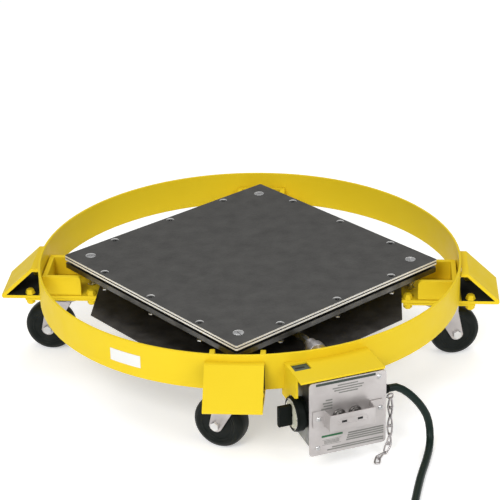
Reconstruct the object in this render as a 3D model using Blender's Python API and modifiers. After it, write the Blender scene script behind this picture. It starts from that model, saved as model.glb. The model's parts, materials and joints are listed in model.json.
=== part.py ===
"""Drum dolly with a sprung heater plate, a control box, a mains lead and a grounding chain.

Metres, +Z up. The origin is on the floor, on the axis of the round band. The first outrigger
points along -Y. Radial pieces are modelled with local +X pointing outwards from that axis and
are then turned into place about Z by an empty.
"""

from math import cos, hypot, pi, radians, sin, sqrt

import bmesh
import bpy
from mathutils import Matrix, Vector
from mathutils.geometry import interpolate_bezier

# ---------------------------------------------------------------- driving dimensions
GAP = 0.0003  # left between solids that touch

BAND_RADIUS = 0.314
BAND_THICKNESS = 0.0035
BAND_BOTTOM = 0.1075
BAND_HEIGHT = 0.0535

OUTRIGGER_ANGLES = {"front": -90, "right": 0, "back": 90, "left": 180}
OUTRIGGER_WIDTH = 0.080
OUTRIGGER_REACH = 0.370
OUTRIGGER_PLATE = 0.005
OUTRIGGER_INNER_END = 0.222
HOOD_TOP_EDGE = 0.3235  # where the slope meets the short top strip
HOOD_HEIGHT = 0.0435  # of the top strip above the band's bottom edge

LUG_INNER_END = 0.250
LUG_BACK = 0.3078
LUG_WIDTH = 0.077
LUG_TOP = 0.1375
LUG_SHEET = 0.0075
LUG_CORNER = 0.006

CASTER_PIVOT = 0.2817  # from the dolly's axis
CASTER_TRAIL = 0.0248
CASTER_DIRECTIONS = {"front": 158, "right": 14.7, "back": -55, "left": 172.6}  # where each trails
CASTER_PLATE = (0.106, 0.080, 0.003)  # radial, across, thick
CASTER_BOLTS = (0.046, 0.033)  # from the pivot, radial and across
WHEEL_RADIUS = 0.0381
WHEEL_HALF_WIDTH = 0.0160
FORK_HALF_GAP = 0.0170
FORK_SHEET = 0.0025
CROWN_RADIUS = 0.030
CROWN_UNDERSIDE = 0.0900
KINGPIN_RADIUS = 0.006
AXLE_RADIUS = 0.005

HEATER_HALF_SIDE = 0.1973
HEATER_TOP = 0.1555
POST_DISTANCE = 0.239  # of each guide screw from the dolly's axis
POST_RADIUS = 0.004
POST_HOLE = 0.0046
POST_HEAD_RADIUS = 0.0075
POST_RECESS_DEPTH = 0.0022
EDGE_SCREW_OFFSETS = (-0.109, 0.0, 0.109)  # along each edge of the heater, from its middle
EDGE_SCREW_INSET = 0.0093
EDGE_SCREW_HOLE = 0.0060
SPRING_TURNS = 3
SPRING_RADIUS = 0.0066
SPRING_WIRE = 0.0008

BOX_ANGLE = -66  # direction in which the control box faces
BOX_BACK = 0.3148
BOX_FRONT = 0.3655
BOX_HALF_WIDTH = 0.0508
BOX_BOTTOM = 0.0390
BOX_TOP = 0.1411
BOX_SHEET = 0.002
PANEL_BACK = 0.3660
PANEL_SHEET = 0.002
BREAKER_OFFSETS = {"left": -0.0110, "right": 0.0117}
BREAKER_HEIGHT = 0.0890
BUTTON_RADIUS = 0.0048
DIAL_CENTRE = (0.3415, 0.0875)  # outwards and up
DIAL_RADIUS = 0.0238
BEZEL_RADIUS = 0.0245
GLAND_CENTRE = (0.338, 0.0945)  # outwards and up
GLAND_END = 0.0731  # across
CONDUIT_HEIGHT = 0.128
CONDUIT_HOLE = 0.0098  # radius of the hole through the band and the box's back

CORD_DIAMETER = 0.0108
COIL_CENTRE = (0.1490, -0.5560)
COIL_MEAN_RADIUS = 0.0625
COIL_TURNS_WIDE = 2
COIL_TURNS_HIGH = 2

# The lead's route where it isn't coiled, from the gland to the side of the coil.
CORD_ROUTE = [
    (0.2053, -0.2785, 0.0945),
    (0.2145, -0.2745, 0.0946),
    (0.2260, -0.2712, 0.0882),
    (0.2390, -0.2688, 0.0760),
    (0.2506, -0.2665, 0.0605),
    (0.2590, -0.2650, 0.0440),
    (0.2627, -0.2668, 0.0280),
    (0.2636, -0.2745, 0.0145),
    (0.2622, -0.2875, 0.0072),
    (0.2595, -0.3040, 0.0057),
    (0.2555, -0.3260, 0.0057),
    (0.2505, -0.3500, 0.0057),
    (0.2455, -0.3800, 0.0057),
    (0.2405, -0.4150, 0.0057),
    (0.2355, -0.4550, 0.0057),
    (0.2315, -0.5000, 0.0057),
    (0.2290, -0.5300, 0.0057),
    (0.2286, -0.5560, 0.0057),
]

# The grounding chain's centre line, outwards, across and up, from the eye to its loose end.
CHAIN_ROUTE = [
    (0.3540, 0.0700, 0.0850),
    (0.3540, 0.0700, 0.0650),
    (0.3540, 0.0699, 0.0450),
    (0.3541, 0.0695, 0.0280),
    (0.3543, 0.0680, 0.0150),
    (0.3550, 0.0640, 0.0068),
    (0.3575, 0.0565, 0.0042),
    (0.3635, 0.0480, 0.0040),
    (0.3720, 0.0430, 0.0040),
    (0.3820, 0.0420, 0.0040),
]
CHAIN_RADIUS = 0.0044


# ---------------------------------------------------------------- scene and materials
for old in list(bpy.data.objects):
    bpy.data.objects.remove(old)

dolly = bpy.data.collections.new("drum_dolly")
bpy.context.scene.collection.children.link(dolly)


def material(name, colour, roughness, metallic=0.0):
    """A Principled material."""
    made = bpy.data.materials.new(name)
    made.use_nodes = True
    shader = made.node_tree.nodes["Principled BSDF"]
    shader.inputs["Base Color"].default_value = (*colour, 1.0)
    shader.inputs["Roughness"].default_value = roughness
    shader.inputs["Metallic"].default_value = metallic
    return made


YELLOW = material("yellow_paint", (0.88, 0.64, 0.03), 0.45)
ZINC = material("zinc_plated_steel", (0.55, 0.52, 0.50), 0.35, 1.0)
GALVANISED = material("galvanised_sheet", (0.33, 0.34, 0.34), 0.45, 1.0)
STEEL = material("bright_steel", (0.62, 0.62, 0.62), 0.30, 1.0)
ALUMINIUM = material("brushed_aluminium", (0.70, 0.70, 0.70), 0.38, 1.0)
CHROME = material("chrome", (0.80, 0.79, 0.76), 0.12, 1.0)
WHEEL_BLACK = material("wheel_polymer", (0.018, 0.018, 0.018), 0.55)
HEATER_GREY = material("heater_plate_grey", (0.10, 0.10, 0.10), 0.50, 0.6)
MICA = material("heating_mat", (0.02, 0.02, 0.02), 0.70)
INSULATION = material("insulation_board", (0.05, 0.05, 0.045), 0.90)
SHIELD = material("heat_shield_steel", (0.06, 0.055, 0.05), 0.60, 0.7)
BLACK_PLASTIC = material("black_plastic", (0.015, 0.015, 0.015), 0.40)
BLACK_RUBBER = material("black_rubber", (0.02, 0.022, 0.02), 0.60)


# ---------------------------------------------------------------- mesh tools
def linked(name, data):
    made = bpy.data.objects.new(name, data)
    dolly.objects.link(made)
    return made


def baked(worker):
    """The evaluated mesh of a working object, welded and facing out, with the object removed."""
    bpy.context.view_layer.update()
    graph = bpy.context.evaluated_depsgraph_get()
    mesh = bpy.data.meshes.new_from_object(worker.evaluated_get(graph))
    mesh.transform(worker.matrix_world)
    bpy.data.objects.remove(worker)
    soup = bmesh.new()
    soup.from_mesh(mesh)
    bmesh.ops.remove_doubles(soup, verts=soup.verts, dist=0.00001)
    bmesh.ops.recalc_face_normals(soup, faces=soup.faces)
    soup.to_mesh(mesh)
    soup.free()
    return mesh


def block(low, high):
    """A box between two corners."""
    soup = bmesh.new()
    bmesh.ops.create_cube(soup, size=1.0)
    size = Vector(high) - Vector(low)
    middle = (Vector(high) + Vector(low)) / 2
    bmesh.ops.scale(soup, vec=size, verts=soup.verts)
    bmesh.ops.translate(soup, vec=middle, verts=soup.verts)
    mesh = bpy.data.meshes.new("block")
    soup.to_mesh(mesh)
    soup.free()
    return mesh


def moved(mesh, offset=(0, 0, 0), turn=0.0, axis="Z"):
    """The same mesh turned about an axis through the origin, then shifted."""
    mesh.transform(Matrix.Translation(offset) @ Matrix.Rotation(turn, 4, axis))
    return mesh


def rod(radius, start, end, sides=24):
    """A cylinder between two points that lie along X, Y or Z from each other."""
    start = Vector(start)
    along = Vector(end) - start
    soup = bmesh.new()
    bmesh.ops.create_cone(
        soup, cap_ends=True, segments=sides, radius1=radius, radius2=radius, depth=along.length
    )
    turn = along.to_track_quat("Z", "Y").to_matrix().to_4x4()
    bmesh.ops.transform(soup, matrix=Matrix.Translation(start + along / 2) @ turn, verts=soup.verts)
    mesh = bpy.data.meshes.new("rod")
    soup.to_mesh(mesh)
    soup.free()
    return mesh


def across_rod(radius, centre, start, end, sides=24):
    """A cylinder along Y, with its axis at (x, z)."""
    return rod(radius, (centre[0], start, centre[1]), (centre[0], end, centre[1]), sides)


def turned(profile, steps, bored=False):
    """A profile of (radius, height) points, top to bottom on its outer side, turned about Z."""
    mesh = bpy.data.meshes.new("turned")
    points = [(radius, 0, height) for radius, height in profile]
    edges = [(i, i + 1) for i in range(len(points) - 1)]
    if bored:
        edges.append((len(points) - 1, 0))
    mesh.from_pydata(points, edges, [])
    worker = linked("turned", mesh)
    screw = worker.modifiers.new("screw", "SCREW")
    screw.steps = steps
    screw.render_steps = steps
    screw.use_merge_vertices = True
    screw.merge_threshold = 0.00001
    return baked(worker)


def plate(outline, low, high):
    """A flat outline in XY as a solid from one height to another."""
    curve = bpy.data.curves.new("plate", "CURVE")
    curve.dimensions = "2D"
    curve.fill_mode = "BOTH"
    curve.extrude = (high - low) / 2
    spline = curve.splines.new("POLY")
    spline.points.add(len(outline) - 1)
    for point, (x, y) in zip(spline.points, outline):
        point.co = (x, y, 0, 1)
    spline.use_cyclic_u = True
    worker = linked("plate", curve)
    worker.location.z = (high + low) / 2
    return baked(worker)


def side_plate(outline, half_width, offset=0.0):
    """An outline in XZ as a solid that is symmetric about Y = offset."""
    mesh = plate(outline, -half_width, half_width)
    return moved(mesh, (0, offset, 0), pi / 2, "X")


def boolean(operation, mesh, *others):
    """The mesh after a Boolean with each of the other meshes in turn."""
    for other in others:
        worker = linked("worker", mesh)
        tool = linked("tool", other)
        modifier = worker.modifiers.new("boolean", "BOOLEAN")
        modifier.operation = operation
        modifier.object = tool
        mesh = baked(worker)
        bpy.data.objects.remove(tool)
    return mesh


def arc(centre, radius, start, end, count):
    """Points on an arc, in degrees, both ends included."""
    angles = [radians(start + (end - start) * i / (count - 1)) for i in range(count)]
    return [(centre[0] + radius * cos(a), centre[1] + radius * sin(a)) for a in angles]


def rounded_rectangle(half_x, half_y, radius, middle=(0, 0), count=5):
    outline = []
    for quarter, (sx, sy) in enumerate([(1, 1), (-1, 1), (-1, -1), (1, -1)]):
        centre = (middle[0] + sx * (half_x - radius), middle[1] + sy * (half_y - radius))
        outline += arc(centre, radius, 90 * quarter, 90 * quarter + 90, count)
    return outline


def smooth_path(points, spacing):
    """Points read at an even spacing from a smooth curve through the given ones."""
    points = [Vector(p) for p in points]
    slopes = []
    for i, point in enumerate(points):
        before = points[max(i - 1, 0)]
        after = points[min(i + 1, len(points) - 1)]
        slopes.append((after - before).normalized())
    fine = []
    for i in range(len(points) - 1):
        reach = (points[i + 1] - points[i]).length / 3
        handles = points[i] + slopes[i] * reach, points[i + 1] - slopes[i + 1] * reach
        fine += interpolate_bezier(points[i], *handles, points[i + 1], 24)[: -1]
    fine.append(points[-1])
    lengths = [0.0]
    for a, b in zip(fine, fine[1:]):
        lengths.append(lengths[-1] + (b - a).length)
    count = max(2, round(lengths[-1] / spacing))
    path = []
    at = 0
    for k in range(count + 1):
        wanted = lengths[-1] * k / count
        while at < len(fine) - 2 and lengths[at + 1] < wanted:
            at += 1
        share = (wanted - lengths[at]) / (lengths[at + 1] - lengths[at])
        path.append(fine[at].lerp(fine[at + 1], share))
    return path


# ---------------------------------------------------------------- placing
def empty(name, location=(0, 0, 0), turn=0.0, parent=None):
    made = linked(name, None)
    made.location = location
    made.rotation_euler.z = turn
    made.parent = parent
    made.empty_display_size = 0.03
    return made


def part(name, mesh, look, parent=None, sharp=35):
    """A named sub-part with its material, smooth except at its sharp edges."""
    mesh.shade_smooth()
    mesh.set_sharp_from_angle(angle=radians(sharp))
    mesh.materials.clear()
    mesh.materials.append(look)
    made = linked(name, mesh)
    made.parent = parent
    return made


def tube(name, path, radius, look, parent=None, resolution=2):
    """A round bar or a lead along a path."""
    curve = bpy.data.curves.new(name, "CURVE")
    curve.dimensions = "3D"
    curve.bevel_depth = radius
    curve.bevel_resolution = resolution
    curve.use_fill_caps = True
    spline = curve.splines.new("POLY")
    spline.points.add(len(path) - 1)
    for point, place in zip(spline.points, path):
        point.co = (*place, 1)
    spline.use_smooth = True
    curve.materials.append(look)
    made = linked(name, curve)
    made.parent = parent
    return made


# ---------------------------------------------------------------- chassis
def band_cutter(clearance=GAP):
    """The room that the band takes, for cutting what butts against its outside."""
    start = BAND_BOTTOM - clearance
    return rod(BAND_RADIUS + clearance, (0, 0, start), (0, 0, BAND_BOTTOM + 0.1), 144)


def make_band():
    top = BAND_BOTTOM + BAND_HEIGHT
    inner = BAND_RADIUS - BAND_THICKNESS
    profile = [(BAND_RADIUS, top), (BAND_RADIUS, BAND_BOTTOM), (inner, BAND_BOTTOM), (inner, top)]
    band = turned(profile, 96, bored=True)
    outward = Vector((cos(radians(BOX_ANGLE)), sin(radians(BOX_ANGLE)), 0))
    lift = Vector((0, 0, CONDUIT_HEIGHT))
    hole = rod(CONDUIT_HOLE, outward * (inner - 0.01) + lift, outward * (BAND_RADIUS + 0.01) + lift, 16)
    part("ring_band", boolean("DIFFERENCE", band, hole), YELLOW)


def outrigger_mesh():
    """One bent plate: a base strip under the band, folded back up as a hood that meets the band."""
    base_top = BAND_BOTTOM - GAP
    base = base_top - OUTRIGGER_PLATE
    hood_top = BAND_BOTTOM + HOOD_HEIGHT
    run = OUTRIGGER_REACH - HOOD_TOP_EDGE
    rise = hood_top - BAND_BOTTOM
    across = OUTRIGGER_PLATE * hypot(run, rise) / rise  # the plate's thickness measured along X
    strip_under = hood_top - OUTRIGGER_PLATE
    strip_end = OUTRIGGER_REACH - across - (strip_under - BAND_BOTTOM) * run / rise
    fold = OUTRIGGER_REACH - across + (BAND_BOTTOM - base_top) * run / rise
    reach_in = BAND_RADIUS - BAND_THICKNESS / 2
    outline = [
        (OUTRIGGER_INNER_END, base),
        (OUTRIGGER_REACH - 0.002, base),
        (OUTRIGGER_REACH, base + 0.002),
        (OUTRIGGER_REACH, BAND_BOTTOM),
        (HOOD_TOP_EDGE, hood_top),
        (reach_in, hood_top),
        (reach_in, strip_under),
        (strip_end, strip_under),
        (fold, base_top),
        (OUTRIGGER_INNER_END, base_top),
    ]
    mesh = side_plate(outline, OUTRIGGER_WIDTH / 2)
    cuts = [band_cutter()]
    for radial in (-CASTER_BOLTS[0], CASTER_BOLTS[0]):
        for across in (-CASTER_BOLTS[1], CASTER_BOLTS[1]):
            at = (CASTER_PIVOT + radial, across)
            cuts.append(rod(0.0042, (*at, base - 0.002), (*at, base_top + 0.002), 8))
    foot = (POST_DISTANCE, 0)
    cuts.append(rod(POST_RADIUS + GAP, (*foot, base - 0.002), (*foot, base_top + 0.002), 12))
    return boolean("DIFFERENCE", mesh, *cuts)


def lug_mesh():
    """A U of bent strip: its cheeks carry the drum and its back wall stands inside the band."""
    corner = (LUG_INNER_END + LUG_CORNER, LUG_TOP - LUG_CORNER)
    outline = [(LUG_INNER_END, BAND_BOTTOM), (LUG_BACK, BAND_BOTTOM), (LUG_BACK, LUG_TOP)]
    outline += arc(corner, LUG_CORNER, 90, 180, 5)
    solid = side_plate(outline, LUG_WIDTH / 2)
    inside = LUG_WIDTH / 2 - LUG_SHEET
    room = block((0, -inside, 0), (LUG_BACK - LUG_SHEET, inside, 1))
    return boolean("DIFFERENCE", solid, room)


def caster_plate_mesh():
    """Top plate with its lower race, the riveted kingpin and the four bolts that hold it."""
    length, width, thickness = CASTER_PLATE
    top = BAND_BOTTOM - 2 * GAP - OUTRIGGER_PLATE
    under = top - thickness
    mesh = block((-length / 2, -width / 2, under), (length / 2, width / 2, top))
    race = CROWN_UNDERSIDE + 0.0068
    head = CROWN_UNDERSIDE - 0.0025
    profile = [
        (0, top - 0.001),
        (0.0225, top - 0.001),
        (0.0225, race + 0.0006),
        (0.0215, race),
        (KINGPIN_RADIUS, race),
        (KINGPIN_RADIUS, head),
        (0.0100, head),
        (0.0085, head - 0.0045),
        (0, head - 0.0045),
    ]
    mesh = boolean("UNION", mesh, turned(profile, 20))
    guide = (POST_DISTANCE - CASTER_PIVOT, 0)
    guide_hole = rod(POST_RADIUS + GAP, (*guide, under - 0.01), (*guide, top + 0.01), 12)
    mesh = boolean("DIFFERENCE", mesh, guide_hole)
    bolt = [
        (0, BAND_BOTTOM + 0.0088),
        (0.0055, BAND_BOTTOM + 0.0070),
        (0.0078, BAND_BOTTOM),
        (0.0036, BAND_BOTTOM),
        (0.0036, under + 0.001),
        (0.0068, under + 0.001),
        (0.0068, under - 0.0062),
        (0.0035, under - 0.0084),
        (0, under - 0.0084),
    ]
    for radial in (-CASTER_BOLTS[0], CASTER_BOLTS[0]):
        for across in (-CASTER_BOLTS[1], CASTER_BOLTS[1]):
            mesh = boolean("UNION", mesh, moved(turned(bolt, 6), (radial, across, 0)))
    return mesh


def fork_mesh():
    """Crown with its raised race and two tapered legs. The swivel's axis is Z, it trails to +X."""
    crown_top = CROWN_UNDERSIDE + FORK_SHEET
    outer = FORK_HALF_GAP + FORK_SHEET
    tip = (CASTER_TRAIL, WHEEL_RADIUS)
    leg = [(-0.0130, crown_top), (-0.0130, CROWN_UNDERSIDE - 0.006)]
    leg += arc(tip, 0.0100, 200, 350, 7)
    leg += [(0.0262, CROWN_UNDERSIDE - 0.014), (0.0262, crown_top)]
    legs = side_plate(leg, outer)
    wheel_room = block((-1, -FORK_HALF_GAP, 0), (1, FORK_HALF_GAP, CROWN_UNDERSIDE))
    legs = boolean("DIFFERENCE", legs, wheel_room)
    crown = [
        (0, crown_top + 0.0039),
        (0.0200, crown_top + 0.0039),
        (0.0245, crown_top + 0.0020),
        (0.0255, crown_top),
        (CROWN_RADIUS, crown_top - 0.0004),
        (CROWN_RADIUS, CROWN_UNDERSIDE),
        (0, CROWN_UNDERSIDE),
    ]
    mesh = boolean("UNION", turned(crown, 24), legs)
    kingpin_bore = rod(KINGPIN_RADIUS + 0.0001, (0, 0, 0.05), (0, 0, 0.15), 20)
    axle_bore = across_rod(AXLE_RADIUS + GAP, tip, -1, 1, 12)
    return boolean("DIFFERENCE", mesh, kingpin_bore, axle_bore)


def wheel_mesh():
    """Moulded wheel with a rounded tread, a recessed web and a hub. It turns about Y."""
    side = WHEEL_HALF_WIDTH
    edge = 0.0045
    rim = [(0.0270, side), (WHEEL_RADIUS - edge, side)]
    rim += [(x, y) for y, x in arc((side - edge, WHEEL_RADIUS - edge), edge, 45, 90, 2)]
    web = [(0.0240, 0.0085), (0.0130, 0.0085), (0.0115, side)]
    bore = AXLE_RADIUS + 0.00006
    upper = [(bore, side)] + web[::-1] + rim
    profile = upper + [(radius, -height) for radius, height in reversed(upper)]
    return moved(turned(profile, 24, bored=True), turn=pi / 2, axis="X")


def axle_mesh():
    """Axle bolt with its head on one side and its nut on the other."""
    outer = FORK_HALF_GAP + FORK_SHEET
    shank = rod(AXLE_RADIUS, (0, -outer - 0.002, 0), (0, outer + 0.002, 0), 24)
    head = rod(0.0066, (0, outer + GAP, 0), (0, outer + 0.0045, 0), 6)
    nut = rod(0.0066, (0, -outer - GAP, 0), (0, -outer - 0.0045, 0), 6)
    return boolean("UNION", shank, head, nut)


def make_chassis():
    make_band()
    outrigger, lug, top_plate = outrigger_mesh(), lug_mesh(), caster_plate_mesh()
    fork, wheel, axle = fork_mesh(), wheel_mesh(), axle_mesh()
    for side, degrees in OUTRIGGER_ANGLES.items():
        frame = empty(f"outrigger_frame_{side}", turn=radians(degrees))
        part(f"outrigger_{side}", outrigger, YELLOW, frame)
        part(f"support_lug_{side}", lug, YELLOW, frame)
        pivot = empty(f"swivel_axis_{side}", (CASTER_PIVOT, 0, 0), parent=frame)
        part(f"caster_plate_{side}", top_plate, YELLOW, pivot)
        trail = radians(CASTER_DIRECTIONS[side] - degrees)
        swivel = empty(f"caster_swivel_{side}", turn=trail, parent=pivot)
        part(f"caster_fork_{side}", fork, ZINC, swivel)
        hub = empty(f"wheel_axis_{side}", (CASTER_TRAIL, 0, WHEEL_RADIUS), parent=swivel)
        part(f"caster_wheel_{side}", wheel, WHEEL_BLACK, hub)
        part(f"caster_axle_{side}", axle, STEEL, hub)


# ---------------------------------------------------------------- heater
def heater_layer(half_side, low, high, corner=0.002):
    """A square sheet of the stack with a hole for each guide screw."""
    sheet = plate(rounded_rectangle(half_side, half_side, corner, count=2), low, high)
    reach = POST_DISTANCE / sqrt(2)
    holes = []
    for x in (-reach, reach):
        for y in (-reach, reach):
            holes.append(rod(POST_HOLE, (x, y, low - 0.01), (x, y, high + 0.01), 10))
    return boolean("DIFFERENCE", sheet, *holes)


def heater_plate_mesh():
    """The top sheet, with a recess for each guide screw's head and a hole for each edge screw."""
    low = HEATER_TOP - 0.0030
    sheet = heater_layer(HEATER_HALF_SIDE, low, HEATER_TOP)
    reach = POST_DISTANCE / sqrt(2)
    edge = HEATER_HALF_SIDE - EDGE_SCREW_INSET
    floor = HEATER_TOP - POST_RECESS_DEPTH
    cuts = []
    for x in (-reach, reach):
        for y in (-reach, reach):
            cuts.append(rod(POST_HEAD_RADIUS + GAP, (x, y, floor), (x, y, HEATER_TOP + 0.01), 12))
    for offset in EDGE_SCREW_OFFSETS:
        for x, y in ((offset, -edge), (offset, edge), (-edge, offset), (edge, offset)):
            cuts.append(rod(EDGE_SCREW_HOLE, (x, y, low - 0.01), (x, y, HEATER_TOP + 0.01), 12))
    return boolean("DIFFERENCE", sheet, *cuts)


def heater_pan_mesh():
    """A shallow tray turned upside down, with a short skirt round its edge."""
    half = HEATER_HALF_SIDE - 0.0005
    top = HEATER_TOP - 0.0122
    bottom = HEATER_TOP - 0.0200
    inside = half - 0.0015
    room = block((-inside, -inside, bottom - 0.01), (inside, inside, top - 0.0015))
    return boolean("DIFFERENCE", heater_layer(half, bottom, top), room)


def shield_mesh():
    """An octagonal sheet that rests on the inner ends of the outriggers' base strips."""
    half_side = 0.2333
    clip = 0.2265  # from the dolly's axis to the clipped corners
    along = clip * sqrt(2) - half_side
    corners = [(half_side, along), (along, half_side)]
    outline = []
    for quarter in range(4):
        turn = Matrix.Rotation(quarter * pi / 2, 2)
        outline += [tuple(turn @ Vector(corner)) for corner in corners]
    return plate(outline, BAND_BOTTOM, BAND_BOTTOM + 0.0015)


def post_mesh():
    """Guide screw: its slotted head lies in the plate's recess, its nut under the caster plate."""
    head = HEATER_TOP - GAP
    under_head = HEATER_TOP - POST_RECESS_DEPTH + GAP
    nut = BAND_BOTTOM - OUTRIGGER_PLATE - CASTER_PLATE[2] - 3 * GAP
    profile = [
        (0, head),
        (POST_HEAD_RADIUS - 0.0004, head),
        (POST_HEAD_RADIUS, head - 0.0004),
        (POST_HEAD_RADIUS, under_head),
        (POST_RADIUS, under_head),
        (POST_RADIUS, nut),
        (0.0074, nut),
        (0.0074, nut - 0.0050),
        (POST_RADIUS, nut - 0.0050),
        (POST_RADIUS, nut - 0.0075),
        (0, nut - 0.0075),
    ]
    slot = block((-0.01, -0.0007, head - 0.0010), (0.01, 0.0007, head + 0.01))
    return boolean("DIFFERENCE", turned(profile, 12), slot)


def spring_path():
    """A helix with closed ends round a guide screw, from the base strip to the pan."""
    bottom = BAND_BOTTOM + SPRING_WIRE
    top = HEATER_TOP - 0.0137 - GAP - SPRING_WIRE
    per_turn = 8
    count = int(SPRING_TURNS * per_turn)
    path = []
    for i in range(count + 1):
        share = i / count
        turn = 2 * pi * SPRING_TURNS * share
        height = bottom + (top - bottom) * (3 * share**2 - 2 * share**3 + share) / 2
        path.append((SPRING_RADIUS * cos(turn), SPRING_RADIUS * sin(turn), height))
    return path


def make_heater():
    frame = empty("heater_frame", turn=radians(45))
    top = HEATER_TOP
    half = HEATER_HALF_SIDE
    part("heater_plate", heater_plate_mesh(), HEATER_GREY, frame)
    part("heating_mat", heater_layer(half - 0.002, top - 0.0043, top - 0.0033), MICA, frame)
    part("clamp_plate", heater_layer(half, top - 0.0076, top - 0.0046), STEEL, frame)
    part("insulation_board", heater_layer(half - 0.006, top - 0.0119, top - 0.0079), INSULATION, frame)
    part("heater_pan", heater_pan_mesh(), GALVANISED, frame)
    part("heat_shield", shield_mesh(), SHIELD, frame)
    post = post_mesh()
    helix = spring_path()
    for side, degrees in OUTRIGGER_ANGLES.items():
        outward = Vector((cos(radians(degrees)), sin(radians(degrees)), 0))
        place = empty(f"post_axis_{side}", outward * POST_DISTANCE, radians(degrees))
        part(f"heater_post_{side}", post, STEEL, place)
        tube(f"heater_spring_{side}", helix, SPRING_WIRE, STEEL, place)


# ---------------------------------------------------------------- control box
def bracket_mesh():
    """An inverted channel welded to the band: a top plate with a window and two cheeks."""
    left, right, sheet = -0.0655, 0.0550, 0.003
    front, left_front, right_front = 0.3688, 0.3520, 0.3645
    under_band = 0.2995
    top = BAND_BOTTOM + 0.0405
    left_foot = BAND_BOTTOM - 0.0120
    left_front_foot = BAND_BOTTOM + 0.0085
    right_foot = BAND_BOTTOM + 0.0040
    cheek = [
        (under_band, left_foot),
        (BAND_RADIUS, left_foot),
        (left_front, left_front_foot),
        (left_front, top - sheet / 2),
        (under_band, top - sheet / 2),
    ]
    left_cheek = side_plate(cheek, sheet / 2, left + sheet / 2)
    right_cheek = block((under_band, right - sheet, right_foot), (right_front, right, top - sheet / 2))
    cover = block((under_band, left, top - sheet), (front, right, top))
    mesh = boolean("UNION", cover, left_cheek, right_cheek)
    window = block((0.3165, -0.0605, top - 0.02), (0.3362, -0.0368, top + 0.02))
    dial_room = across_rod(BEZEL_RADIUS + 0.0008, DIAL_CENTRE, -0.1, 0, 32)
    return boolean("DIFFERENCE", mesh, band_cutter(), window, dial_room)


def enclosure_mesh():
    """A sheet-metal box, open at the front, with holes for the conduit, the gland and the dial."""
    wall = BOX_SHEET
    half = BOX_HALF_WIDTH
    height = BOX_TOP - BOX_BOTTOM
    middle = (BOX_TOP + BOX_BOTTOM) / 2
    outline = rounded_rectangle(half, height / 2, 0.006, (0, middle), 4)
    room_outline = rounded_rectangle(half - wall, height / 2 - wall, 0.004, (0, middle), 4)
    face_outwards = Matrix(((0, 0, 1), (1, 0, 0), (0, 1, 0))).to_4x4()
    solid = plate(outline, BOX_BACK, BOX_FRONT)
    solid.transform(face_outwards)
    room = plate(room_outline, BOX_BACK + wall, BOX_FRONT + 0.01)
    room.transform(face_outwards)
    back = Vector((BOX_BACK, 0, CONDUIT_HEIGHT))
    through = Vector((0.01, 0, 0))
    back_hole = rod(CONDUIT_HOLE, back - through, back + through, 16)
    gland_hole = across_rod(0.0098, GLAND_CENTRE, 0.04, 0.06, 16)
    dial_hole = across_rod(0.0060, DIAL_CENTRE, -0.06, -0.04, 16)
    return boolean("DIFFERENCE", solid, room, back_hole, gland_hole, dial_hole)


def panel_mesh():
    """The front plate, with a hole for each breaker."""
    low, high = (-0.0535, 0.0320), (0.0575, 0.1427)
    half = (high[0] - low[0]) / 2, (high[1] - low[1]) / 2
    middle = (high[0] + low[0]) / 2, (high[1] + low[1]) / 2
    sheet = plate(rounded_rectangle(*half, 0.005, middle), PANEL_BACK, PANEL_BACK + PANEL_SHEET)
    sheet.transform(Matrix(((0, 0, 1), (1, 0, 0), (0, 1, 0))).to_4x4())
    holes = []
    for across in BREAKER_OFFSETS.values():
        holes.append(rod(0.0073, (0.35, across, BREAKER_HEIGHT), (0.38, across, BREAKER_HEIGHT), 24))
    return boolean("DIFFERENCE", sheet, *holes)


def guard_mesh():
    """A hat section over the reset buttons, with a poking slot in front of each."""
    back = PANEL_BACK + PANEL_SHEET + GAP
    sheet = 0.0015
    depth = 0.0185
    bottom, top = BAND_BOTTOM - 0.031, BAND_BOTTOM - 0.007
    front = back + depth
    outer = [(back, -0.0490), (back + sheet, -0.0490), (back + sheet, -0.0330), (front, -0.0315)]
    outer += [(front, 0.0335), (back + sheet, 0.0350), (back + sheet, 0.0515), (back, 0.0515)]
    inner = [(back, 0.0335), (front - sheet, 0.0320), (front - sheet, -0.0300), (back, -0.0315)]
    mesh = plate(outer + inner, bottom, top)
    slots = []
    for across in BREAKER_OFFSETS.values():
        low = (front - 0.01, across - 0.0036, BREAKER_HEIGHT - 0.0016)
        high = (front + 0.01, across + 0.0036, BREAKER_HEIGHT + 0.0016)
        slots.append(block(low, high))
    return boolean("DIFFERENCE", mesh, *slots)


def breaker_mesh():
    """Breaker body behind the panel, its threaded bush and its ring nut. It faces along +X."""
    front = PANEL_BACK + PANEL_SHEET
    profile = [
        (0, front + 0.0055),
        (0.0062, front + 0.0055),
        (0.0066, front + 0.0035),
        (0.0086, front + 0.0030),
        (0.0090, front + GAP),
        (0.0070, front + GAP),
        (0.0070, PANEL_BACK - GAP - 0.001),
        (0, PANEL_BACK - GAP - 0.001),
    ]
    bush = moved(turned(profile, 16), turn=pi / 2, axis="Y")
    body = block((0.3380, -0.0080, -0.0100), (PANEL_BACK - GAP, 0.0080, 0.0100))
    bore = rod(BUTTON_RADIUS + 0.00006, (0.3560, 0, 0), (0.40, 0, 0), 24)
    return boolean("DIFFERENCE", boolean("UNION", body, bush), bore)


def button_mesh():
    """Round reset button with an eased front edge. It slides along X in the breaker's bush."""
    front = 0.3772
    back = 0.3600
    profile = [
        (0, front),
        (BUTTON_RADIUS - 0.0008, front),
        (BUTTON_RADIUS, front - 0.0008),
        (BUTTON_RADIUS, back),
        (0, back),
    ]
    return moved(turned(profile, 24), turn=pi / 2, axis="Y")


def across_turned(profile, steps, bored=False):
    """A turned piece whose axis is Y: the profile's heights run towards +Y."""
    return moved(turned(profile, steps, bored), turn=-pi / 2, axis="X")


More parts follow.
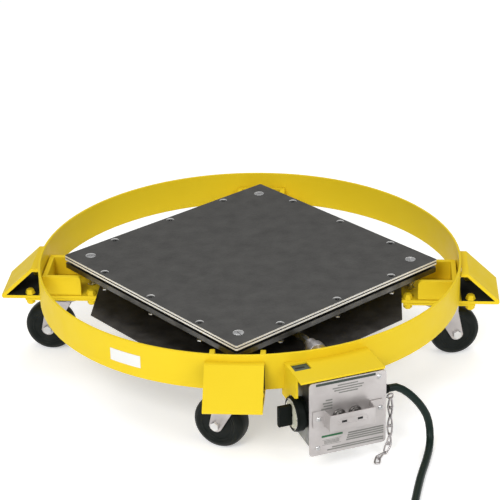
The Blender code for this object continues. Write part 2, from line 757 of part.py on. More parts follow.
def make_thermostat(frame):
    """Bezel, dial, bar knob with its shaft, and the body inside the box, all on one Y axis."""
    axis = empty("dial_axis", (DIAL_CENTRE[0], 0, DIAL_CENTRE[1]), parent=frame)
    wall = -BOX_HALF_WIDTH - GAP
    bezel_front = wall - 0.0149
    running = 0.00306
    bezel = [
        (running, wall),
        (BEZEL_RADIUS - 0.0030, wall),
        (BEZEL_RADIUS - 0.0030, wall - 0.0049),
        (BEZEL_RADIUS, wall - 0.0054),
        (BEZEL_RADIUS, bezel_front + 0.0012),
        (BEZEL_RADIUS - 0.0012, bezel_front),
        (running, bezel_front),
    ]
    part("thermostat_bezel", across_turned(bezel, 28, bored=True), BLACK_PLASTIC, axis)
    dial_back = bezel_front - GAP
    dial_front = dial_back - 0.0027
    dial = [
        (0.0033, dial_back),
        (DIAL_RADIUS, dial_back),
        (DIAL_RADIUS, dial_front + 0.0012),
        (DIAL_RADIUS - 0.0025, dial_front),
        (0.0033, dial_front),
    ]
    part("thermostat_dial", across_turned(dial, 28, bored=True), CHROME, axis)
    knob_back = dial_front - GAP
    wing = rounded_rectangle(0.0042, 0.0153, 0.0025, count=3)
    bar = moved(plate(wing, knob_back - 0.0180, knob_back), turn=-pi / 2, axis="X")
    shaft = rod(0.0030, (0, knob_back - 0.001, 0), (0, -0.0360, 0), 24)
    part("thermostat_knob", boolean("UNION", bar, shaft), BLACK_PLASTIC, axis)
    body_front = -BOX_HALF_WIDTH + BOX_SHEET + GAP
    body = block((-0.0165, body_front, -0.0195), (0.0165, -0.0300, 0.0195))
    bore = rod(running, (0, -0.06, 0), (0, -0.0340, 0), 24)
    part("thermostat_body", boolean("DIFFERENCE", body, bore), BLACK_PLASTIC, axis)


def make_gland(frame):
    """Cable gland through the box's right wall, tapering to a sleeve round the lead."""
    wall = BOX_HALF_WIDTH + GAP
    profile = [
        (0, GLAND_END),
        (0.0064, GLAND_END),
        (0.0078, GLAND_END - 0.0110),
        (0.0100, GLAND_END - 0.0155),
        (0.0100, wall + 0.0035),
        (0.0125, wall + 0.0035),
        (0.0125, wall),
        (0.0090, wall),
        (0.0090, wall - 0.0070),
        (0, wall - 0.0070),
    ]
    axis = empty("gland_axis", (GLAND_CENTRE[0], 0, GLAND_CENTRE[1]), parent=frame)
    part("cable_gland", across_turned(profile, 16), BLACK_PLASTIC, axis)


def make_conduit(frame):
    """Terminal box on the heat shield, flexible conduit, and the connector through the band."""
    shield_top = BAND_BOTTOM + 0.0015 + GAP
    face = 0.1617
    lower = 0.1178
    terminal_box = block((0.110, -0.022, shield_top), (face - GAP, 0.022, 0.1262))
    part("terminal_box", terminal_box, GALVANISED, frame)
    route = [
        (face, 0, lower),
        (0.178, 0, lower),
        (0.194, 0, lower + 0.0014),
        (0.209, 0, lower + 0.0058),
        (0.222, 0, CONDUIT_HEIGHT - 0.0008),
        (0.2377, 0, CONDUIT_HEIGHT),
    ]
    tube("conduit", smooth_path(route, 0.006), 0.0055, GALVANISED, frame)
    lock = BAND_RADIUS - BAND_THICKNESS - 0.0008  # clear of the band's curve
    profile = [
        (0, 0.3195),
        (0.0092, 0.3195),
        (0.0092, lock),
        (0.0140, lock),
        (0.0140, lock - 0.0045),
        (0.0092, lock - 0.0045),
        (0.0092, 0.2700),
        (0.0142, 0.2680),
        (0.0142, 0.2550),
        (0.0098, 0.2530),
        (0.0098, 0.2400),
        (0.0085, 0.2377 + GAP),
        (0, 0.2377 + GAP),
    ]
    mesh = moved(turned(profile, 14), (0, 0, CONDUIT_HEIGHT), pi / 2, "Y")
    part("conduit_connector", mesh, ZINC, frame)


def make_chain(frame):
    """The eye on the box's side and the room that the hanging chain takes."""
    height = 0.0920
    ring_centre = 0.0700
    outwards = CHAIN_ROUTE[0][0]
    circle = [(0.0038 + x, y) for x, y in arc((0, 0), 0.0014, 0, 360, 9)[:-1]]
    ring = moved(turned(circle[::-1], 16, bored=True), turn=pi / 2, axis="Y")
    ring = moved(ring, (outwards, ring_centre, height))
    shank = across_rod(0.0018, (outwards, height), BOX_HALF_WIDTH + GAP, ring_centre - 0.0038, 8)
    part("chain_eye", boolean("UNION", ring, shank), ZINC, frame)
    tube("ground_chain", smooth_path(CHAIN_ROUTE, 0.010), CHAIN_RADIUS, ZINC, frame)


def make_controls():
    frame = empty("control_box_frame", turn=radians(BOX_ANGLE))
    part("control_bracket", bracket_mesh(), YELLOW, frame)
    part("control_enclosure", enclosure_mesh(), GALVANISED, frame)
    part("control_panel", panel_mesh(), ALUMINIUM, frame)
    part("button_guard", guard_mesh(), ALUMINIUM, frame)
    breaker, button = breaker_mesh(), button_mesh()
    for side, across in BREAKER_OFFSETS.items():
        axis = empty(f"button_axis_{side}", (0, across, BREAKER_HEIGHT), parent=frame)
        part(f"breaker_{side}", breaker, CHROME, axis)
        part(f"breaker_button_{side}", button, BLACK_PLASTIC, axis)
    make_thermostat(frame)
    make_gland(frame)
    make_conduit(frame)
    make_chain(frame)


# ---------------------------------------------------------------- mains lead
def make_cord():
    """The lead from the gland to the coil, the coil as one ring, and the plug beside it."""
    tube("power_cord", smooth_path(CORD_ROUTE, 0.020), CORD_DIAMETER / 2, BLACK_RUBBER)
    half_wide = COIL_TURNS_WIDE * CORD_DIAMETER / 2 + 0.0006
    outer = COIL_MEAN_RADIUS + half_wide
    inner = COIL_MEAN_RADIUS - half_wide
    top = COIL_TURNS_HIGH * CORD_DIAMETER + 0.0009
    edge = CORD_DIAMETER / 2
    profile = [(outer - edge, top), (outer, top - edge), (outer, edge), (outer - edge, GAP)]
    profile += [(inner + edge, GAP), (inner, edge), (inner, top - edge), (inner + edge, top)]
    ring = turned(profile, 32, bored=True)
    part("cord_coil", moved(ring, (*COIL_CENTRE, 0)), BLACK_RUBBER)
    make_plug(outer)


def make_plug(coil_radius):
    """A moulded three-pin plug lying beside the coil, where the lead leaves its outer turn."""
    sleeve = 0.0065
    side = COIL_MEAN_RADIUS + CORD_DIAMETER / 2
    start = sqrt((coil_radius + sleeve + GAP) ** 2 - side**2)
    sections = [(0, sleeve), (0.026, 0.0085), (0.031, 0.0120), (0.062, 0.0125), (0.064, 0.0115)]
    profile = [(0, 0.064)] + [(radius, along) for along, radius in reversed(sections)] + [(0, 0)]
    body = turned(profile, 16)
    body.transform(Matrix.Diagonal((1.22, 1.0, 1.0, 1.0)))
    blade = block((-0.0072, -0.0032, 0.063), (-0.0057, 0.0032, 0.082))
    other = block((0.0057, -0.0032, 0.063), (0.0072, 0.0032, 0.082))
    ground = rod(0.0024, (0, 0.0058, 0.063), (0, 0.0058, 0.084), 12)
    mesh = boolean("UNION", body, blade, other, ground)
    lie_down = Matrix(((0, 0, -1), (-1, 0, 0), (0, 1, 0))).to_4x4()
    mesh.transform(lie_down)
    place = (COIL_CENTRE[0] - start, COIL_CENTRE[1] - side, 0.0128)
    part("cord_plug", moved(mesh, place), BLACK_RUBBER)


make_chassis()
make_heater()
make_controls()
make_cord()
bpy.context.view_layer.update()
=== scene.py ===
"""The looks of the drum dolly: materials, eased edges, small parts, cord, chain, light and camera.

Metres, +Z up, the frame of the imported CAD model: its origin is on the floor, on the axis of the band.
"""

import json
from math import cos, hypot, pi, radians, sin

import bmesh
import bpy
from mathutils import Matrix, Vector
from mathutils.geometry import interpolate_bezier

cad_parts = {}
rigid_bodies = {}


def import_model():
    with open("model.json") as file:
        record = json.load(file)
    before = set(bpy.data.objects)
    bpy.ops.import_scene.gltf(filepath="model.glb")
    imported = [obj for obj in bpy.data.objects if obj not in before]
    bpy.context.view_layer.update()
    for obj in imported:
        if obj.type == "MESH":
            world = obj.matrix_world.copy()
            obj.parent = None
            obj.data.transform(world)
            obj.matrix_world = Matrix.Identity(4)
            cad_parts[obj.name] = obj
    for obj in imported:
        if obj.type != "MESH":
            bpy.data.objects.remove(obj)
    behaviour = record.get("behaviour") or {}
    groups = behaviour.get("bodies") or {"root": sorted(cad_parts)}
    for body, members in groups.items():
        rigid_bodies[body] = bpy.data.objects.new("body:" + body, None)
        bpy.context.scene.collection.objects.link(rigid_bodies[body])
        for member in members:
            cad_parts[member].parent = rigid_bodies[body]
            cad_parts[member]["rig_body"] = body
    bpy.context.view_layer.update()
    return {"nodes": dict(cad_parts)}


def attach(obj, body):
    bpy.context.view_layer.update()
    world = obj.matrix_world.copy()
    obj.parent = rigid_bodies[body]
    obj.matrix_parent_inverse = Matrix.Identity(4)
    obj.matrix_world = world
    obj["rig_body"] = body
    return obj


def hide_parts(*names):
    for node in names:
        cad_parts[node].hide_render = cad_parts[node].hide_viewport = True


for old in list(bpy.data.objects):
    bpy.data.objects.remove(old)

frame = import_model()
nodes = frame["nodes"]
SIDES = {"front": -90, "right": 0, "back": 90, "left": 180}

# ---------------------------------------------------------------- sizes that the CAD model also uses
GAP = 0.0003  # left between solids that touch
BAND_RADIUS = 0.314
BAND_BOTTOM = 0.1075
CASTER_PIVOT = 0.2817
CASTER_TRAIL = 0.0248
CASTER_DIRECTIONS = {"front": 158, "right": 14.7, "back": -55, "left": 172.6}
WHEEL_RADIUS = 0.0381
WHEEL_HALF_WIDTH = 0.0160
CASTER_PLATE_BOTTOM = 0.0989
BOLT_ROW = 0.046  # of a caster plate's bolts from its kingpin, along the outrigger
BOLT_SPREAD = 0.033  # the same, across the outrigger
HOOD_INNER_TOP = 0.1460  # the underside of a hood's top strip
HOOD_HALF_WIDTH = 0.0400
HEATER_TOP = 0.1555
EDGE_SCREW_OFFSETS = (-0.109, 0.0, 0.109)
EDGE_SCREW_REACH = 0.1880
EDGE_SCREW_END = 0.1262
POST_DISTANCE = 0.239
POST_HEAD_RADIUS = 0.0075
BOX_ANGLE = -66  # of the control box round the band
BOX_HALF_WIDTH = 0.0508
PANEL_FRONT = 0.3680
BUTTON_FRONT = 0.3772
BREAKER_OFFSETS = {"left": -0.0110, "right": 0.0117}
BREAKER_HEIGHT = 0.0890
GUARD_FRONT = 0.3868
GUARD_SHEET = 0.0018
SLOT_HALF_SIZE = (0.0036, 0.0016)  # of the guard's slots, across and up
DIAL_RADIUS = 0.0238
BEZEL_RADIUS = 0.0245
BEZEL_FRONT = -0.0660
DIAL_CENTRE = (0.3415, 0.0875)
CORD_DIAMETER = 0.0108
CORD_REST = 0.0057  # the height of the lead's centre where it lies on the floor
COIL_CENTRE = (0.1490, -0.5560)
COIL_MEAN_RADIUS = 0.0625
PLUG_REAR = 0.1054  # where the plug's body ends and the lead goes in, along X
CORD_ROUTE = [
    (0.2053, -0.2785, 0.0945),
    (0.2145, -0.2745, 0.0946),
    (0.2260, -0.2712, 0.0882),
    (0.2390, -0.2688, 0.0760),
    (0.2506, -0.2665, 0.0605),
    (0.2590, -0.2650, 0.0440),
    (0.2627, -0.2668, 0.0280),
    (0.2636, -0.2745, 0.0145),
    (0.2622, -0.2875, 0.0072),
    (0.2595, -0.3040, 0.0057),
    (0.2555, -0.3260, 0.0057),
    (0.2505, -0.3500, 0.0057),
    (0.2455, -0.3800, 0.0057),
    (0.2405, -0.4150, 0.0057),
    (0.2355, -0.4550, 0.0057),
]
CHAIN_ROUTE = [
    (0.3540, 0.0700, 0.0850),
    (0.3540, 0.0700, 0.0650),
    (0.3540, 0.0699, 0.0450),
    (0.3541, 0.0695, 0.0280),
    (0.3543, 0.0680, 0.0150),
    (0.3550, 0.0640, 0.0068),
    (0.3575, 0.0565, 0.0042),
    (0.3635, 0.0480, 0.0040),
    (0.3720, 0.0430, 0.0040),
    (0.3820, 0.0420, 0.0040),
]


# ---------------------------------------------------------------- camera
CAMERA_PLACE = (0.1709, -2.3493, 1.2795)
CAMERA_TARGET = (0, 0, 0.2075)
CAMERA_LENS = 125.9  # millimetres
CAMERA_SHIFT = (0.0022, -0.049)
CAMERA_ROLL = -1.13  # degrees


def make_camera():
    """A long lens in front of the dolly and above it, turned a little about its own line of sight."""
    data = bpy.data.cameras.new("camera")
    data.lens = CAMERA_LENS
    data.sensor_width = 36.0
    data.shift_x, data.shift_y = CAMERA_SHIFT
    data.clip_end = 50.0
    place = Vector(CAMERA_PLACE)
    forward = (Vector(CAMERA_TARGET) - place).normalized()
    level = forward.cross(Vector((0, 0, 1))).normalized()
    upright = level.cross(forward)
    roll = radians(CAMERA_ROLL)
    across = level * cos(roll) + upright * sin(roll)
    up = across.cross(forward)
    camera = bpy.data.objects.new("camera", data)
    bpy.context.scene.collection.objects.link(camera)
    camera.matrix_world = Matrix.Translation(place) @ Matrix((across, up, -forward)).transposed().to_4x4()
    bpy.context.scene.camera = camera


make_camera()


# ---------------------------------------------------------------- node materials
def new_material(name):
    made = bpy.data.materials.new(name)
    made.use_nodes = True
    return made, made.node_tree, made.node_tree.nodes["Principled BSDF"]


def add(tree, kind, **values):
    """A node with its inputs set by name and its own settings by attribute."""
    made = tree.nodes.new(kind)
    for key, value in values.items():
        if key in made.inputs:
            made.inputs[key].default_value = value
        else:
            setattr(made, key, value)
    return made


def coordinates(tree, scale=(1, 1, 1), turn=0.0):
    """Coordinates fixed to the piece, turned about Z and stretched."""
    where = add(tree, "ShaderNodeTexCoord")
    mapping = add(tree, "ShaderNodeMapping")
    mapping.inputs["Rotation"].default_value = (0, 0, radians(turn))
    mapping.inputs["Scale"].default_value = scale
    tree.links.new(where.outputs["Object"], mapping.inputs["Vector"])
    return mapping.outputs["Vector"]


def noise(tree, vector, scale, detail=3.0, rough=0.5):
    made = add(tree, "ShaderNodeTexNoise", Scale=scale, Detail=detail, Roughness=rough)
    tree.links.new(vector, made.inputs["Vector"])
    return made.outputs["Fac"]


def ramp(tree, source, low, high, dark, light):
    """A colour between dark and light, as the source goes from low to high."""
    made = tree.nodes.new("ShaderNodeValToRGB")
    made.color_ramp.elements[0].position = low
    made.color_ramp.elements[1].position = high
    made.color_ramp.elements[0].color = (*dark, 1)
    made.color_ramp.elements[1].color = (*light, 1)
    tree.links.new(source, made.inputs["Fac"])
    return made.outputs["Color"]


def span(tree, source, low, high, start, end):
    made = tree.nodes.new("ShaderNodeMapRange")
    for name, value in zip(("From Min", "From Max", "To Min", "To Max"), (low, high, start, end)):
        made.inputs[name].default_value = value
    tree.links.new(source, made.inputs["Value"])
    return made.outputs["Result"]


def mixed(tree, share, first, second, blend="MIX"):
    made = tree.nodes.new("ShaderNodeMix")
    made.data_type = "RGBA"
    made.blend_type = blend
    for socket, value in ((made.inputs[0], share), (made.inputs[6], first), (made.inputs[7], second)):
        if isinstance(value, (int, float)):
            socket.default_value = value
        elif isinstance(value, tuple):
            socket.default_value = (*value, 1)
        else:
            tree.links.new(value, socket)
    return made.outputs[2]


def bumped(tree, shader, height, strength, distance):
    made = add(tree, "ShaderNodeBump", Strength=strength, Distance=distance)
    tree.links.new(height, made.inputs["Height"])
    tree.links.new(made.outputs["Normal"], shader.inputs["Normal"])


def painted(name, colour, shade):
    """Powder coat: orange peel, a slow change of shade, faint scuffs and dust."""
    made, tree, shader = new_material(name)
    where = coordinates(tree)
    slow = noise(tree, where, 9.0, 4.0)
    base = ramp(tree, slow, 0.30, 0.72, shade, colour)
    scuffs = noise(tree, coordinates(tree, (40, 40, 220)), 1.0, 5.0, 0.62)
    marks = span(tree, scuffs, 0.69, 0.80, 0.0, 0.175)
    base = mixed(tree, marks, base, tuple(0.55 * c for c in colour))
    tree.links.new(base, shader.inputs["Base Color"])
    fine = noise(tree, where, 620.0, 2.0)
    patches = noise(tree, where, 45.0, 5.0)
    tree.links.new(span(tree, patches, 0.3, 0.7, 0.42, 0.58), shader.inputs["Roughness"])
    shader.inputs["Specular IOR Level"].default_value = 0.12
    bumped(tree, shader, fine, 0.16, 0.0006)
    return made


def metal(name, dark, light, low, high, stretch=(60, 60, 60), turn=0.0, bump=0.10, metallic=1.0, spangle=0.0):
    """Bare or plated metal with a grain along the stretched direction, and spangles if asked for."""
    made, tree, shader = new_material(name)
    shader.inputs["Metallic"].default_value = metallic
    grain = noise(tree, coordinates(tree, stretch, turn), 1.0, 6.0, 0.65)
    cloud = noise(tree, coordinates(tree), 38.0, 4.0)
    base = ramp(tree, cloud, 0.3, 0.7, dark, light)
    if spangle:
        cells = add(tree, "ShaderNodeTexVoronoi", Scale=150.0)
        tree.links.new(coordinates(tree), cells.inputs["Vector"])
        base = mixed(tree, spangle, base, cells.outputs["Color"], "SOFT_LIGHT")
        saturation = add(tree, "ShaderNodeHueSaturation", Saturation=0.12)
        tree.links.new(base, saturation.inputs["Color"])
        base = saturation.outputs["Color"]
    tree.links.new(base, shader.inputs["Base Color"])
    tree.links.new(span(tree, grain, 0.3, 0.7, low, high), shader.inputs["Roughness"])
    bumped(tree, shader, grain, bump, 0.0003)
    return made


def moulded(name, colour, low, high, fine=900.0, bump=0.12, dust=0.0, shine=0.5):
    """Moulded plastic, rubber or print with a fine grain, and clouds of dust if asked for."""
    made, tree, shader = new_material(name)
    where = coordinates(tree)
    cloud = noise(tree, where, 55.0, 5.0, 0.6)
    base = mixed(tree, span(tree, cloud, 0.45, 0.8, 0.0, dust), colour, (0.30, 0.29, 0.27))
    shader.inputs["Specular IOR Level"].default_value = shine
    tree.links.new(base, shader.inputs["Base Color"])
    tree.links.new(span(tree, cloud, 0.3, 0.7, low, high), shader.inputs["Roughness"])
    bumped(tree, shader, noise(tree, where, fine, 2.0), bump, 0.0004)
    return made


ALONG_PANEL = (40, 60, 1500)
EVEN_GRAIN = (240, 240, 240)
ALONG_EDGE = (300, 300, 2400)
LOOKS = {
    "yellow": painted("yellow_powder_coat", (0.82, 0.605, 0.020), (0.79, 0.570, 0.016)),
    # painted shade: a near-black colour for the faces inside the hoods and on the band behind them, where
    # shadow falls
    "hood_shade": moulded("painted_hood_shade", (0.022, 0.024, 0.016), 0.6, 0.8, shine=0.2),
    "zinc": metal("zinc_plate", (0.36, 0.34, 0.34), (0.54, 0.51, 0.51), 0.24, 0.44),
    "galvanised": metal("galvanised_sheet", (0.11, 0.13, 0.12), (0.25, 0.27, 0.26), 0.30, 0.50, spangle=0.5),
    "steel": metal("bright_steel", (0.52, 0.52, 0.52), (0.74, 0.74, 0.74), 0.22, 0.40),
    "panel": metal(
        "brushed_aluminium",
        (0.47, 0.44, 0.43),
        (0.56, 0.53, 0.52),
        0.30,
        0.46,
        ALONG_PANEL,
        turn=-BOX_ANGLE,
        bump=0.18,
        metallic=0.60,
    ),
    "chrome": metal("chrome_plate", (0.66, 0.65, 0.62), (0.76, 0.75, 0.72), 0.08, 0.18, bump=0.02),
    "plate": metal(
        "heater_plate", (0.060, 0.058, 0.055), (0.085, 0.083, 0.078), 0.42, 0.60, EVEN_GRAIN, metallic=0.5
    ),
    "bright_edge": metal(
        "cut_edge", (0.82, 0.82, 0.81), (0.92, 0.91, 0.89), 0.35, 0.55, ALONG_EDGE, metallic=0.1
    ),
    "mat": moulded("heating_mat", (0.16, 0.155, 0.15), 0.55, 0.8),
    "insulation": moulded("insulation_board", (0.055, 0.052, 0.048), 0.8, 0.95, 300.0, 0.5),
    "shield": metal("heat_shield", (0.035, 0.032, 0.030), (0.085, 0.080, 0.075), 0.35, 0.60, metallic=0.8),
    "pan": metal("heater_pan", (0.10, 0.10, 0.10), (0.20, 0.20, 0.20), 0.35, 0.55),
    "plastic": moulded("black_plastic", (0.0030, 0.0050, 0.0038), 0.42, 0.58, shine=0.10),
    "wheel": moulded("wheel_polymer", (0.005, 0.0075, 0.0065), 0.38, 0.55, 700.0, 0.15, 0.03, shine=0.14),
    "rubber": moulded("lead_jacket", (0.003, 0.013, 0.009), 0.34, 0.48, 1200.0, 0.08, shine=0.22),
    "label": moulded("blank_label", (0.78, 0.78, 0.76), 0.35, 0.5, 200.0, 0.03),
    "ink": moulded("printing_ink", (0.030, 0.045, 0.035), 0.5, 0.6),
    "pale_ink": moulded("pale_ink", (0.20, 0.20, 0.185), 0.5, 0.6),
    "green_ink": moulded("green_ink", (0.010, 0.125, 0.040), 0.5, 0.6),
    "dark_screw": metal("dark_screw", (0.05, 0.05, 0.05), (0.12, 0.12, 0.115), 0.25, 0.4, metallic=0.8),
    "brass": metal("blade_brass", (0.70, 0.55, 0.26), (0.80, 0.66, 0.36), 0.18, 0.3),
    "breaker_ring": metal("breaker_ring", (0.16, 0.15, 0.145), (0.26, 0.25, 0.24), 0.25, 0.40, bump=0.03),
    "dial_face": moulded("dial_face", (0.62, 0.62, 0.50), 0.3, 0.4, bump=0.02),
    # painted shade: the green-grey of galvanised steel, darkened for the box top seen in shadow through the
    # bracket's window
    "window_shade": moulded("painted_window_shade", (0.055, 0.085, 0.070), 0.5, 0.6, bump=0.02),
    # painted shade: a near-black colour for socket floors, slot walls and holes, where shadow falls
    "painted_hole_shade": moulded("painted_recess_shade", (0.008, 0.008, 0.008), 0.6, 0.8),
}


# ---------------------------------------------------------------- mesh tools
def linked(name, data):
    made = bpy.data.objects.new(name, data)
    bpy.context.scene.collection.objects.link(made)
    return made


def finished(name, mesh, looks, body, stands_for=(), sharp=35):
    """A piece on its body, with its materials, in place of the CAD nodes it stands for, which are hidden.

    Its edges over the angle sharp stay sharp. With sharp None, its normals stay as they are.
    """
    for key in looks:
        mesh.materials.append(LOOKS[key])
    if sharp is not None:
        mesh.shade_smooth()
        mesh.set_sharp_from_angle(angle=radians(sharp))
    made = linked(name, mesh)
    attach(made, body)
    if stands_for:
        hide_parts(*stands_for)
    return made


def mesh_of(soup, name):
    """The bmesh as a new mesh, after which the bmesh is let go."""
    made = bpy.data.meshes.new(name)
    soup.to_mesh(made)
    soup.free()
    return made


def baked(worker):
    """The evaluated mesh of a working object, which is removed."""
    bpy.context.view_layer.update()
    graph = bpy.context.evaluated_depsgraph_get()
    mesh = bpy.data.meshes.new_from_object(worker.evaluated_get(graph))
    mesh.transform(worker.matrix_world)
    bpy.data.objects.remove(worker)
    return mesh


def eased_mesh(mesh, width, segments=2):
    """The mesh with its edges of over 30 degrees rounded."""
    worker = linked("eased", mesh)
    bevel = worker.modifiers.new("bevel", "BEVEL")
    bevel.width = width
    bevel.segments = segments
    bevel.limit_method = "ANGLE"
    bevel.angle_limit = radians(30)
    bevel.use_clamp_overlap = True
    return baked(worker)


def flat_faced(mesh):
    """The mesh with normals that keep its large faces flat and shade its eased edges round."""
    mesh.shade_smooth()
    worker = linked("weighted", mesh)
    worker.modifiers.new("weights", "WEIGHTED_NORMAL").weight = 90
    return baked(worker)


def cad_mesh(node):
    """The mesh of a CAD node, welded, with its flat faces whole again."""
    soup = bmesh.new()
    soup.from_mesh(nodes[node].data)
    bmesh.ops.remove_doubles(soup, verts=soup.verts, dist=0.00002)
    bmesh.ops.dissolve_limit(soup, angle_limit=radians(0.8), verts=soup.verts, edges=soup.edges)
    mesh = mesh_of(soup, node)
    for layer in ("custom_normal", "sharp_edge", "sharp_face"):
        if layer in mesh.attributes:
            mesh.attributes.remove(mesh.attributes[layer])
    mesh.materials.clear()
    return mesh


def divided(mesh, splits):
    """The mesh with its faces cut along planes, each given as (point, normal)."""
    soup = bmesh.new()
    soup.from_mesh(mesh)
    for point, normal in splits:
        everything = soup.verts[:] + soup.edges[:] + soup.faces[:]
        bmesh.ops.bisect_plane(soup, geom=everything, dist=0.00001, plane_co=point, plane_no=normal)
    return mesh_of(soup, "divided")


def refined(node, look, width=0.0008, segments=2, choose=None, looks=(), splits=()):
    """A copy of a CAD node with eased edges. choose(face) gives the index of each face's material."""
    mesh = eased_mesh(cad_mesh(node), width, segments)
    if splits:
        mesh = divided(mesh, splits)
    mesh = flat_faced(mesh)
    if choose:
        for face in mesh.polygons:
            face.material_index = choose(face)
    body = nodes[node]["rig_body"]
    return finished(f"{node}_piece", mesh, (look, *looks), body, (node,), None)


def turned(profile, steps=48, closed=False):
    """A profile of (radius, height) points turned about Z, capped where it reaches the axis."""
    soup = bmesh.new()
    rings = []
    for radius, height in profile:
        if radius < 1e-6:
            rings.append([soup.verts.new((0, 0, height))])
        else:
            angles = [2 * pi * k / steps for k in range(steps)]
            rings.append([soup.verts.new((radius * cos(a), radius * sin(a), height)) for a in angles])
    pairs = list(zip(rings, rings[1:]))
    if closed:
        pairs.append((rings[-1], rings[0]))
    for upper, lower in pairs:
        for k in range(steps):
            n = (k + 1) % steps
            above, below = len(upper), len(lower)
            corners = [upper[k % above], upper[n % above], lower[n % below], lower[k % below]]
            unique = list(dict.fromkeys(corners))
            if len(unique) > 2:
                soup.faces.new(unique)
    bmesh.ops.recalc_face_normals(soup, faces=soup.faces)
    return mesh_of(soup, "turned")


def rounded(profile, radius):
    """The profile with each corner between its ends replaced by a short arc of three steps."""
    count = 3
    points = [Vector(p) for p in profile]
    out = [tuple(points[0])]
    for before, corner, after in zip(points, points[1:], points[2:]):
        reach_in = min(radius, (corner - before).length * 0.45)
        reach_out = min(radius, (after - corner).length * 0.45)
        start = corner + (before - corner).normalized() * reach_in
        end = corner + (after - corner).normalized() * reach_out
        for k in range(count + 1):
            t = k / count
            point = start * (1 - t) ** 2 + corner * 2 * t * (1 - t) + end * t**2
            out.append(tuple(point))
    out.append(tuple(points[-1]))
    return out


def joined(*meshes):
    """Several meshes as one. Each may come with the index of its material."""
    soup = bmesh.new()
    for item in meshes:
        mesh, index = item if isinstance(item, tuple) else (item, None)
        start = len(soup.faces)
        soup.from_mesh(mesh)
        soup.faces.ensure_lookup_table()
        if index is not None:
            for face in soup.faces[start:]:
                face.material_index = index
    return mesh_of(soup, "joined")


def moved(mesh, matrix):
    mesh = mesh.copy()
    mesh.transform(matrix)
    return mesh


def block(low, high, width=0.0):
    """A box between two corners, with eased edges if a width is given for them."""
    soup = bmesh.new()
    bmesh.ops.create_cube(soup, size=1.0)
    size = Vector(high) - Vector(low)
    bmesh.ops.scale(soup, vec=size, verts=soup.verts)
    bmesh.ops.translate(soup, vec=(Vector(high) + Vector(low)) / 2, verts=soup.verts)
    mesh = mesh_of(soup, "block")
    return eased_mesh(mesh, width) if width else mesh


def cut(mesh, *tools):
    """The mesh with the tools' shapes taken away."""
    for tool in tools:
        worker = linked("worker", mesh)
        cutter = linked("cutter", tool)
        modifier = worker.modifiers.new("cut", "BOOLEAN")
        modifier.operation = "DIFFERENCE"
        modifier.object = cutter
        mesh = baked(worker)
        bpy.data.objects.remove(cutter)
    return mesh


def around(angle):
    return Matrix.Rotation(radians(angle), 4, "Z")


def at(x, y, z):
    return Matrix.Translation((x, y, z))


OUTWARDS = Matrix(((0, 0, 1, 0), (1, 0, 0, 0), (0, 1, 0, 0), (0, 0, 0, 1)))  # Z to X, X to Y, Y to Z
LEFTWARDS = Matrix(((1, 0, 0, 0), (0, 0, -1, 0), (0, 1, 0, 0), (0, 0, 0, 1)))  # Z to -Y
RIGHTWARDS = Matrix(((1, 0, 0, 0), (0, 0, 1, 0), (0, -1, 0, 0), (0, 0, 0, 1)))  # Z to +Y
BOX = around(BOX_ANGLE)


def smooth_path(points, spacing):
    """Points at an even spacing on a smooth curve through the given ones."""
    points = [Vector(p) for p in points]
    slopes = []
    for i in range(len(points)):
        before = points[max(i - 1, 0)]
        after = points[min(i + 1, len(points) - 1)]
        slopes.append((after - before).normalized())
    fine = []
    for i in range(len(points) - 1):
        reach = (points[i + 1] - points[i]).length / 3
        handles = points[i] + slopes[i] * reach, points[i + 1] - slopes[i + 1] * reach
        fine += interpolate_bezier(points[i], *handles, points[i + 1], 24)[:-1]
    fine.append(points[-1])
    lengths = [0.0]
    for a, b in zip(fine, fine[1:]):
        lengths.append(lengths[-1] + (b - a).length)
    count = max(2, round(lengths[-1] / spacing))
    path = []
    place = 0
    for k in range(count + 1):
        wanted = lengths[-1] * k / count
        while place < len(fine) - 2 and lengths[place + 1] < wanted:
            place += 1
        share = (wanted - lengths[place]) / (lengths[place + 1] - lengths[place])
        path.append(fine[place].lerp(fine[place + 1], share))
    return path


def tube(name, path, radius, look, body, stands_for=(), cyclic=False):
    """A round tube along a path, as a piece of its own."""
    curve = bpy.data.curves.new(name, "CURVE")
    curve.dimensions = "3D"
    curve.bevel_depth = radius
    curve.bevel_resolution = 6
    curve.use_fill_caps = True
    spline = curve.splines.new("POLY")
    spline.points.add(len(path) - 1)
    for point, place in zip(spline.points, path):
        point.co = (*place, 1)
    spline.use_smooth = True
    spline.use_cyclic_u = cyclic
    curve.materials.append(LOOKS[look])
    made = linked(name, curve)
    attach(made, body)
    if stands_for:
        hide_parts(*stands_for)
    return made


# ---------------------------------------------------------------- mains lead
def coil_path():
    """Clockwise turns from the coil's +X side: the lower layer inwards, then the upper one outwards."""
    outer = COIL_MEAN_RADIUS + CORD_DIAMETER / 2
    inner = COIL_MEAN_RADIUS - CORD_DIAMETER / 2
    low, high = CORD_REST, 0.0166
    turns = 3.25
    step_in, step_up, step_out = 1.0, 2.0, 2.95  # the turns at which the lead changes its lane
    blend = 0.22

    def eased(turn, start):
        t = min(max((turn - start + blend / 2) / blend, 0.0), 1.0)
        return t * t * (3 - 2 * t)

    path = []
    steps = int(turns * 40)
    for k in range(steps + 1):
        turn = turns * k / steps
        radius = outer + (inner - outer) * (eased(turn, step_in) - eased(turn, step_out))
        height = low + (high - low) * eased(turn, step_up)
        angle = -2 * pi * turn
        path.append(Vector((*COIL_CENTRE, 0)) + Vector((radius * cos(angle), radius * sin(angle), height)))
    return path


